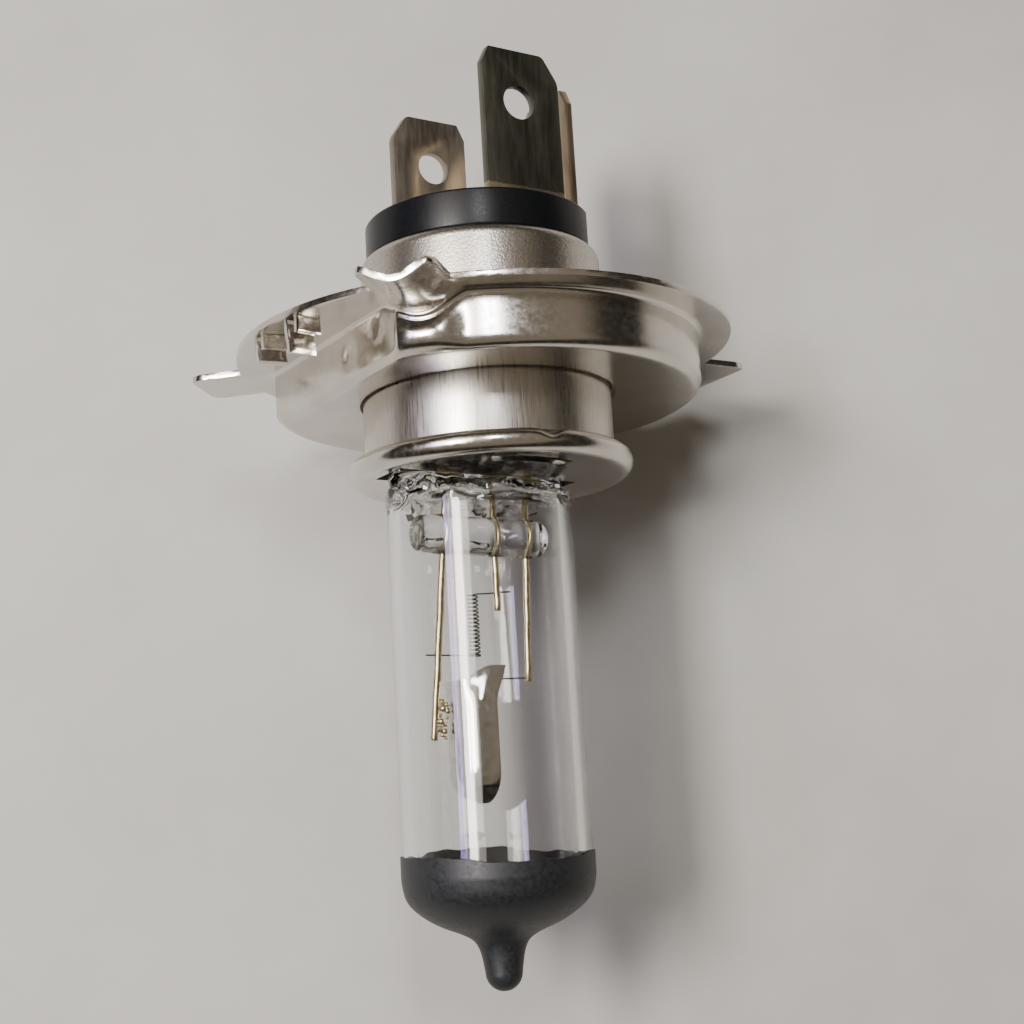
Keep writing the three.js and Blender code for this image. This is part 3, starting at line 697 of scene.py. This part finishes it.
def lower_sleeve():
    low, high = sleeve_low.y, sleeve_high.y
    inner = SLEEVE_R - SLEEVE_WALL
    outline = filleted([(inner, low, 0), (SLEEVE_R, low, 0.08), (SLEEVE_R, high, 0.15),
                        (inner, high, 0)], closed=True)
    bm = spun(outline, 256)
    finish_piece("brushed_lower_sleeve", bm, BRUSHED, "brushed_nickel", "lower_sleeve")


def cut_crescent(bm):
    """The crescent slot through the plate."""
    cut = []
    for f in bm.faces:
        c = f.calc_center_median()
        inside = VENT_R[0] < c.xz.length < VENT_R[1]
        if inside and VENT_ARC[0] < degrees(atan2(c.z, c.x)) < VENT_ARC[1]:
            cut.append(f)
    cut_through(bm, cut)


def cut_pinch_slot(bm):
    """The slot that the flattened glass passes through, cut square through the dish."""
    low, high = SLOT
    middle = Vector((GLASS_X, 0, 0))
    along = Vector((cos(TURN), 0, -sin(TURN)))
    across = Vector((sin(TURN), 0, cos(TURN)))
    for reach, axis in ((low, along), (high, along), (-SLOT_HALF, across), (SLOT_HALF, across)):
        bmesh.ops.bisect_plane(bm, geom=bm.verts[:] + bm.edges[:] + bm.faces[:], dist=1e-5,
                               plane_co=middle + axis * reach, plane_no=axis)
    cut = []
    for f in bm.faces:
        place = f.calc_center_median() - middle
        if low < place.dot(along) < high and abs(place.dot(across)) < SLOT_HALF:
            cut.append(f)
    cut_through(bm, cut)


def holder_plate():
    roll = (plate_high.y - plate_low.y) / 2
    rim = PLATE_R - roll
    low = PLATE_Y - roll + 0.22
    arc = [(rim + roll * cos(radians(a)), PLATE_Y + roll * sin(radians(a)))
           for a in range(-105, 131, 12)]
    hem = [(r - 0.32 * (r - rim) / roll, PLATE_Y + (y - PLATE_Y) * 0.68) for r, y in reversed(arc)]
    front = [(0, low), (VENT_R[0], low), (VENT_R[1], low), (rim - 1.1, low)]
    back = [(r, y + PLATE_SHEET) for r, y in reversed(front)]
    bm = spun(front + arc + hem + back, 256)
    cut_crescent(bm)
    cut_pinch_slot(bm)
    for v in bm.verts:
        r = v.co.xz.length
        angle = degrees(atan2(v.co.z, v.co.x))
        edge = smooth_step((r - rim + 0.8) / 1.2)
        ding = exp(-((angle - 64) / 4.0) ** 2)
        v.co.y += -0.42 * ding * edge * smooth_step((v.co.y - PLATE_Y + 0.5) / 1.0)
        v.co.y += 0.08 * edge * sin(radians(angle * 2 + 40))
    bmesh.ops.recalc_face_normals(bm, faces=bm.faces)
    finish_piece("rolled_holder_plate", bm, NICKEL, "bright_nickel", "glass_holder_plate")


base_shell()
lower_sleeve()
holder_plate()


# ---- pinch clamp -----------------------------------------------------------------------------
def pinch_clamps():
    for side, name in ((1, "front"), (-1, "rear")):
        low = extent(f"pinch_clamp_{name}")[0].y
        face = PINCH_T / 2 + 0.1
        outline = [(face, low), (face + 1.9, low), (face + 1.9, low + 0.35),
                   (face + 0.35, low + 0.35), (face + 0.35, PINCH_TOP - 0.6),
                   (face + 0.8, PINCH_TOP), (face + 0.5, PINCH_TOP + 0.2), (face, PINCH_TOP - 0.5)]
        bm = cut_sheet(outline, PINCH_W - 2.4)
        rotate(bm, -side * pi / 2)
        ease_edges(bm, 0.08)
        turn_glass(bm)
        finish_piece(f"pinch_clamp_spring_{name}", bm, BRUSHED, "brushed_nickel",
                     f"pinch_clamp_{name}")


pinch_clamps()


# ---- insulator and blade terminals -----------------------------------------------------------
BLADES = {"high_beam": pi / 2, "ground": -pi / 2, "low_beam": 0.0}     # their places round Y


def insulator():
    seat = shell_high.y
    outline = filleted([
        (0, plug_low.y, 0), (SPIGOT_R, plug_low.y, 0.2), (SPIGOT_R, seat - 2.2, 0.1),
        (PLUG_NECK_R, seat - 0.9, 0.1), (PLUG_NECK_R, seat, 0), (PLUG_R, seat, 0.15),
        (PLUG_R, plug_high.y, 0.25), (0, plug_high.y, 0)])
    bm = spun(outline, 192)
    turn_base(bm)
    for v in bm.verts:
        v.co.x = min(v.co.x, PLUG_R - PLUG_FLAT)
    finish_piece("moulded_terminal_insulator", bm, BLACK, "black_insulator",
                 "terminal_insulator")


def blades():
    half = BLADE_W / 2
    low = blade_low.y
    corners = [(-BLADE_TAIL, low, 0), (BLADE_TAIL, low, 0), (BLADE_TAIL, low + 0.8, 0),
               (BLADE_NECK, low + 1.2, 0), (BLADE_NECK, BLADE_SEAT, 0), (half, BLADE_SEAT, 0),
               (half, BLADE_TIP - 2.3, 1.6), (half - 1.5, BLADE_TIP, 0.7),
               (0.75 - half, BLADE_TIP, 0.1), (-half, BLADE_TIP - 1.5, 0.3),
               (-half, BLADE_SEAT, 0), (-BLADE_NECK, BLADE_SEAT, 0),
               (-BLADE_NECK, low + 1.2, 0), (-BLADE_TAIL, low + 0.8, 0)]
    for circuit, turn in BLADES.items():
        bm = cut_sheet(filleted(corners, closed=True), BLADE_T, [BLADE_HOLE])
        ease_edges(bm, 0.07)
        rotate(bm, pi / 2)
        move(bm, BLADE_OFF)
        rotate(bm, -turn)
        turn_base(bm)
        finish_piece(f"blade_{circuit}", bm, BLADE_SKINS_WITH_PAINTED_LIGHT[circuit], "terminal_metal",
                     f"terminal_{circuit}")


insulator()
blades()


# ---- glass -----------------------------------------------------------------------------------
def dome_profile(grow):
    """The dome from the end of the tip to the tube wall, `grow` outside the glass."""
    nub = 1.4
    end = [((nub + grow) * sin(radians(a)), TIP_Y + 0.2 + nub - (nub + grow) * cos(radians(a)))
           for a in range(0, 81, 10)]
    neck = [(1.45, -52.6), (1.7, -51.3), (2.15, -50.4), (3.1, -49.8), (4.7, -49.15),
            (6.1, -48.35), (7.2, -47.4), (7.75, -46.4)]
    return end + [(r + grow, y - grow * 0.5) for r, y in neck] + [(GLASS_R + grow, -45.0)]


def smooth_profile(points, cells=3):
    """The same points with a smooth curve drawn through them."""
    out = []
    for i in range(len(points) - 1):
        before = Vector(points[max(i - 1, 0)])
        here = Vector(points[i])
        ahead = Vector(points[i + 1])
        beyond = Vector(points[min(i + 2, len(points) - 1)])
        for k in range(cells):
            t = k / cells
            place = 0.5 * ((2 * here) + (ahead - before) * t
                           + (2 * before - 5 * here + 4 * ahead - beyond) * t * t
                           + (3 * here - before - 3 * ahead + beyond) * t ** 3)
            out.append((max(0.0, place.x), place.y))
    out.append(points[-1])
    return out


def squeeze(bm, start, end):
    """Flattens a tube into the pinch between two heights, leaving flame-worked folds."""
    for v in bm.verts:
        t = smooth_step((v.co.y - start) / (end - start))
        if t <= 0:
            continue
        wide = 1 + (PINCH_W / 2 / GLASS_R - 1) * t
        thin = 1 + (PINCH_T / 2 / GLASS_R - 1) * t
        v.co.x *= wide
        v.co.z *= thin
        fold = t * (1 - t) * 4
        spot = Vector((v.co.x * 0.55, v.co.y * 0.9, v.co.z * 0.5))
        broad, fine = noise.noise(spot * 1.1), noise.noise(spot * 2.6)
        v.co += Vector((v.co.x * 0.05, 0.45, v.co.z * 0.24)) * (broad + 0.6 * fine) * fold


def glass_envelope():
    outer = smooth_profile(dome_profile(0.0))
    outer += [(GLASS_R, y) for y in (-42, -38, -34, -30, -26, -22, -18, -16)]
    outer += [(GLASS_R, -15.5 + 0.25 * k) for k in range(41)]
    outer += [(GLASS_R - 0.4, PINCH_TOP), (0, PINCH_TOP)]
    bm = spun(outer, 160)
    squeeze(bm, *PINCH_RUN)
    bore = GLASS_R - GLASS_WALL
    inside = smooth_profile([(0, -49.0), (1.5, -48.95), (3.2, -48.6), (4.9, -47.9), (6.0, -47.0),
                             (bore - 0.1, -45.8), (bore, -44.6)])
    inside += [(bore, y) for y in (-42, -34, -26, -20, -17, -16, -15, -14.6, -14.2)]
    inside += [(bore - 1.2 * (1 - cos(radians(a))), -14.2 + 1.0 * sin(radians(a)))
               for a in range(15, 91, 15)]
    inside += [(bore - 3.0, -12.9), (0, -12.7)]
    hollow = spun(inside, 128)
    squeeze(hollow, *PINCH_RUN)
    bmesh.ops.reverse_faces(hollow, faces=hollow.faces)
    join_mesh(bm, hollow)
    turn_glass(bm)
    finish_piece("quartz_envelope", bm, QUARTZ, "quartz_glass", "glass_envelope", angle=60)


def coating_edge(angle):
    """Height of the coating's ragged edge, by angle in the glass's own frame."""
    world = angle - TURN
    edge = COAT_EDGE - 0.7 * sin(world) - 0.25 * cos(world)
    return edge + 0.14 * sin(3 * world + 1) + 0.08 * sin(7 * world) + 0.05 * sin(17 * world + 2)


def dome_coating():
    sides = []
    for off in (COAT_SKIN, COAT_LINING):
        side = smooth_profile(dome_profile(off))
        dome_end = side[-1][1]
        side += [(GLASS_R + off, dome_end + (COAT_TOP - dome_end) * k / 8) for k in range(1, 9)]
        sides.append(side)
    skin, lining = sides
    outline = skin + [(GLASS_R + 0.10, COAT_TOP + 0.06)] + lining[::-1]
    outline[-1] = (0, outline[-1][1])
    bm = spun(outline, 256)
    for v in bm.verts:
        if v.co.y > COAT_STILL:
            rise = (coating_edge(atan2(v.co.z, v.co.x)) - COAT_STILL) / (COAT_TOP - COAT_STILL)
            v.co.y = COAT_STILL + (v.co.y - COAT_STILL) * rise
    turn_glass(bm)
    finish_piece("dipped_dome_coating", bm, COATING, "black_coating", "opaque_dome_coating")


glass_envelope()
dome_coating()


# ---- leads, foils and bridge -----------------------------------------------------------------
def lead_at(i, y):
    """How far across the pinch an inner lead is at a height."""
    (u0, y0), (u1, y1) = LEAD_TOP[i], LEAD_END[i]
    return u0 + (u1 - u0) * (y - y0) / (y1 - y0)


def inner_leads():
    for i, circuit in enumerate(CIRCUITS):
        top_u, top_y = LEAD_TOP[i]
        end_y = LEAD_END[i][1]
        cells = 12
        path = []
        for k in range(cells + 1):
            y = top_y + (end_y - top_y) * k / cells
            sway = sin(2.3 * k + i) if 0 < k < cells else 0
            path.append((lead_at(i, y) + 0.018 * sway, y, 0.024 * sway))
        bm = wire(path, LEAD_R)
        turn_glass(bm)
        finish_piece(f"lead_wire_{circuit}", bm, MOLY, "lead_wire", f"inner_lead_{circuit}")
        w, h = FOIL_HALF
        foil = cut_sheet(filleted([(-w, -h, 0.3), (w, -h, 0.3), (w, h, 0.3), (-w, h, 0.3)],
                                  closed=True), FOIL_SHEET)
        foil_low, foil_high = extent(f"pinch_foil_{circuit}")
        move(foil, top_u, (foil_low.y + foil_high.y) / 2)
        turn_glass(foil)
        finish_piece(f"foil_{circuit}", foil, MOLY, "lead_wire", f"pinch_foil_{circuit}")


def outer_leads():
    """Plain wires from the pinch, straight at both ends, over to the tails of the blades."""
    shift = GLASS_X * cos(TURN), GLASS_X * sin(TURN)
    ends = {"ground": (0, 1.0 - BLADE_OFF), "high_beam": (0, BLADE_OFF - 1.0),
            "low_beam": (BLADE_OFF - 1.0, 0)}
    for i, circuit in enumerate(CIRCUITS):
        low, high = extent(f"outer_lead_{circuit}")
        x0, z0 = LEAD_TOP[i][0] + shift[0], shift[1]
        x1, z1 = ends[circuit]
        cells = 14
        path = []
        for k in range(cells + 1):
            s = smooth_step((k / cells - 0.2) / 0.6)
            path.append((x0 + (x1 - x0) * s, low.y + (high.y - low.y) * k / cells,
                         z0 + (z1 - z0) * s))
        bm = wire(path, OUTER_LEAD_R)
        turn_base(bm)
        finish_piece(f"stranded_lead_{circuit}", bm, BRUSHED, "lead_wire",
                     f"outer_lead_{circuit}")


def quartz_bridge():
    """A solid rod, thinner one way and swollen the other where each lead goes through it."""
    waist, swell = 0.10, 0.09
    low, high = BRIDGE_ENDS
    outline = filleted([(0, low, 0), (BRIDGE_R - 0.1, low, 0.5), (BRIDGE_R, low + 1.5, 0.5),
                        (BRIDGE_R, high - 1.5, 0.5), (BRIDGE_R - 0.15, high, 0.5),
                        (0, high, 0)], steps=8)
    bm = spun(outline, 64)
    rotate(bm, -pi / 2, "Z")
    bmesh.ops.subdivide_edges(bm, edges=[e for e in bm.edges if e.calc_length() > 1.5],
                              cuts=24, use_grid_fill=True)
    for v in bm.verts:
        for i in range(3):
            gap = v.co.x - lead_at(i, BRIDGE_Y)
            v.co.z *= 1 - waist * exp(-(gap / 0.5) ** 2)
            v.co.y *= 1 + swell * exp(-(gap / 0.6) ** 2)
    move(bm, 0, BRIDGE_Y)
    turn_glass(bm)
    finish_piece("flame_formed_quartz_bridge", bm, PINCHED, "quartz_glass", "quartz_bridge",
                 angle=60)


inner_leads()
outer_leads()
quartz_bridge()


# ---- filaments and shield --------------------------------------------------------------------
def filament(name, node, coil, start_foot, end_foot):
    """A close coil with a straight leg from each end to its lead."""
    top, low = coil
    bm = bmesh.new()
    spot = Matrix.Translation((COIL_R, top, 0))
    circle = bmesh.ops.create_circle(bm, segments=8, radius=COIL_WIRE_R, matrix=spot)
    steps = COIL_TURNS * 24
    ring = circle["verts"] + list({e for v in circle["verts"] for e in v.link_edges})
    bmesh.ops.spin(bm, geom=ring, cent=(0, top, 0), axis=(0, 1, 0),
                   dvec=(0, (low - top) / steps, 0), angle=2 * pi * COIL_TURNS, steps=steps,
                   use_merge=False, use_duplicate=False)
    bmesh.ops.holes_fill(bm, edges=[e for e in bm.edges if e.is_boundary], sides=0)
    move(bm, COIL_U)
    for y, (foot_u, foot_y) in ((top, start_foot), (low, end_foot)):
        begin = COIL_U + COIL_R
        span = foot_u - begin
        leg = wire([(begin, y, 0), (begin + span * 0.3, y + (foot_y - y) * 0.2, 0.05),
                    (begin + span * 0.7, y + (foot_y - y) * 0.8, 0.05), (foot_u, foot_y, 0)],
                   COIL_WIRE_R, sides=8)
        join_mesh(bm, leg)
    bmesh.ops.recalc_face_normals(bm, faces=bm.faces)
    turn_glass(bm)
    finish_piece(name, bm, TUNGSTEN, "tungsten", node)


def filaments():
    filament("coil_high_beam", "high_beam_filament", HIGH_COIL,
             (lead_at(1, HIGH_COIL[0]) + 1.4, HIGH_COIL[0] + 0.3),
             (lead_at(0, HIGH_COIL[1]) - 1.1, HIGH_COIL[1]))
    filament("coil_low_beam", "low_beam_filament", LOW_COIL,
             (lead_at(2, LOW_COIL[0]) + 0.1, LOW_COIL[0] + 0.2), (-1.5, LOW_COIL[1]))


def beam_shield():
    """A pressed trough round the low-beam coil, with a curled horn and a rounded nose."""
    top, low = shield_high.y, shield_low.y
    nose = SHIELD_R * 0.9
    horn_rise, horn_lean, far_drop = 1.1, 1.0, 0.7
    bm = bmesh.new()
    line = [(SHIELD_R, top - (top - low - nose) * k / 16) for k in range(17)]
    line += [(SHIELD_R * cos(radians(a)), low + nose * (1 - sin(radians(a))))
             for a in range(8, 81, 8)]
    verts = [bm.verts.new((-r, y, 0)) for r, y in line]
    edges = [bm.edges.new(pair) for pair in zip(verts, verts[1:])]
    rotate(bm, radians(SHIELD_HALF))
    bmesh.ops.spin(bm, geom=verts + edges, cent=(0, 0, 0), axis=(0, 1, 0), dvec=(0, 0, 0),
                   angle=radians(-2 * SHIELD_HALF), steps=48, use_merge=False, use_duplicate=False)
    for v in bm.verts:
        near = smooth_step((v.co.z - 1.6) / 1.0)
        horn = near * smooth_step((v.co.y - top + 1.8) / 1.8)
        v.co.y += horn_rise * horn
        v.co.x += horn_lean * horn
        far = smooth_step((-v.co.z - 1.9) / 0.7)
        v.co.y -= far_drop * far * smooth_step((v.co.y - top + 2.0) / 2.0)
    bmesh.ops.recalc_face_normals(bm, faces=bm.faces)
    bmesh.ops.solidify(bm, geom=bm.faces[:], thickness=SHIELD_SHEET)
    bmesh.ops.recalc_face_normals(bm, faces=bm.faces)
    move(bm, SHIELD_U)
    turn_glass(bm)
    finish_piece("pressed_beam_shield", bm, SHIELD_SKIN, "shield_metal", "low_beam_shield",
                 angle=50)


def weld_beads():
    """Beads of once molten metal where the shield is welded to the long lead."""
    first_y, pitch = -30.9, 0.55
    bm = bmesh.new()
    for k in range(6):
        y = first_y - pitch * k
        size = 0.26 + 0.07 * sin(2.1 * k)
        spot = Matrix.Translation((lead_at(0, y) + 0.52 + 0.1 * sin(1.7 * k), y,
                                   0.25 * sin(2.7 * k)))
        bmesh.ops.create_icosphere(bm, subdivisions=3, radius=size, matrix=spot)
        spot = Matrix.Translation((lead_at(0, y) + 0.95, y - 0.2, 0.2 * sin(1.3 * k)))
        bmesh.ops.create_icosphere(bm, subdivisions=3, radius=size * 0.8, matrix=spot)
    turn_glass(bm)
    finish_piece("shield_weld_beads", bm, MOLY, "lead_wire")


filaments()
beam_shield()
weld_beads()


# ---- floor, light and camera -----------------------------------------------------------------
def floor():
    half = 1.5
    gap = 0.0002
    bm = bmesh.new()
    bmesh.ops.create_grid(bm, x_segments=8, y_segments=8, size=half)
    mesh = bpy.data.meshes.new("floor")
    bm.to_mesh(mesh)
    bm.free()
    top = bpy.data.objects.new("floor", mesh)
    bpy.context.scene.collection.objects.link(top)
    mesh.transform(Matrix.Translation((0, 0, ring_low.z * MM - gap)))
    # Pale grey worktop laminate: soft mottling, a dull sheen.
    material, tree, skin, where = start_material("pale_grey_laminate")
    cloud = add_node(tree, "ShaderNodeTexNoise", {"Scale": per_mm(45), "Detail": 6.0,
                     "Roughness": 0.6}, {"Vector": where})
    colour = add_node(tree, "ShaderNodeValToRGB", links={"Fac": cloud.outputs["Fac"]},
                      stops=[(0.3, "#a8a6a1"), (0.7, "#bbb9b5")])
    tree.links.new(colour.outputs["Color"], skin.inputs["Base Color"])
    skin.inputs["Roughness"].default_value = 0.55
    mesh.materials.append(material)


def soft_light(name, lean, span, width, watts, colour="#ffffff", distance=0.7):
    """A flat lamp above the bulb: `lean` degrees over towards +X, and `span` is its Y range."""
    lamp = bpy.data.lights.new(name, "AREA")
    lamp.shape = "RECTANGLE"
    lamp.size = width
    lamp.size_y = span[1] - span[0]
    lamp.energy = watts
    lamp.color = srgb(colour)[:3]
    spot = bpy.data.objects.new(name, lamp)
    bpy.context.scene.collection.objects.link(spot)
    place = Vector((sin(radians(lean)) * distance, (span[0] + span[1]) / 2,
                    cos(radians(lean)) * distance))
    back = place.normalized()
    along = (Vector((0, 1, 0)) - back * back.y).normalized()
    turned = Matrix((along.cross(back), along, back)).transposed().to_4x4()
    turned.translation = place
    spot.matrix_world = turned


def lights():
    soft_light("key_strip", -26.8, (-0.10, 0.15), 0.12, 5.0, "#fffcf7")
    soft_light("back_strip", 4, (0.15, 0.34), 0.10, 1.8, "#fbfaff")
    soft_light("violet_strip", -41, (-0.10, 0.15), 0.05, 0.6, "#b9a6ff")
    soft_light("warm_panel", -28, (-0.02, 0.38), 0.40, 3.4, "#fff7ec", 0.75)
    world = bpy.data.worlds.new("studio_sky")
    bpy.context.scene.world = world
    world.use_nodes = True
    tree = world.node_tree
    where = add_node(tree, "ShaderNodeTexCoord").outputs["Generated"]
    parts = add_node(tree, "ShaderNodeSeparateXYZ", links={"Vector": where})
    sky = add_node(tree, "ShaderNodeValToRGB", links={"Fac": parts.outputs["Z"]},
                   stops=[(0.0, "#2b2925"), (0.40, "#33302b"), (0.62, "#857b6d"),
                          (1.0, "#7d7467")])
    tree.links.new(sky.outputs["Color"], tree.nodes["Background"].inputs["Color"])
    tree.nodes["Background"].inputs["Strength"].default_value = 1.0


def camera():
    tilt = radians(11.45)
    roll = radians(3.37)
    distance = 166.25 * MM
    aim = Vector((1.60, -14.07, -2.85)) * MM
    back = Vector((0, -sin(tilt), cos(tilt)))
    lens = bpy.data.cameras.new("camera")
    lens.sensor_width = 36
    lens.lens = 66.8
    lens.clip_start = 0.005
    spot = bpy.data.objects.new("camera", lens)
    bpy.context.scene.collection.objects.link(spot)
    face = Matrix(((1, 0, 0), (0, cos(tilt), -sin(tilt)), (0, sin(tilt), cos(tilt))))
    turned = (Matrix.Rotation(-roll, 3, back) @ face).to_4x4()
    turned.translation = aim + back * distance
    spot.matrix_world = turned
    bpy.context.scene.camera = spot


floor()
lights()
camera()
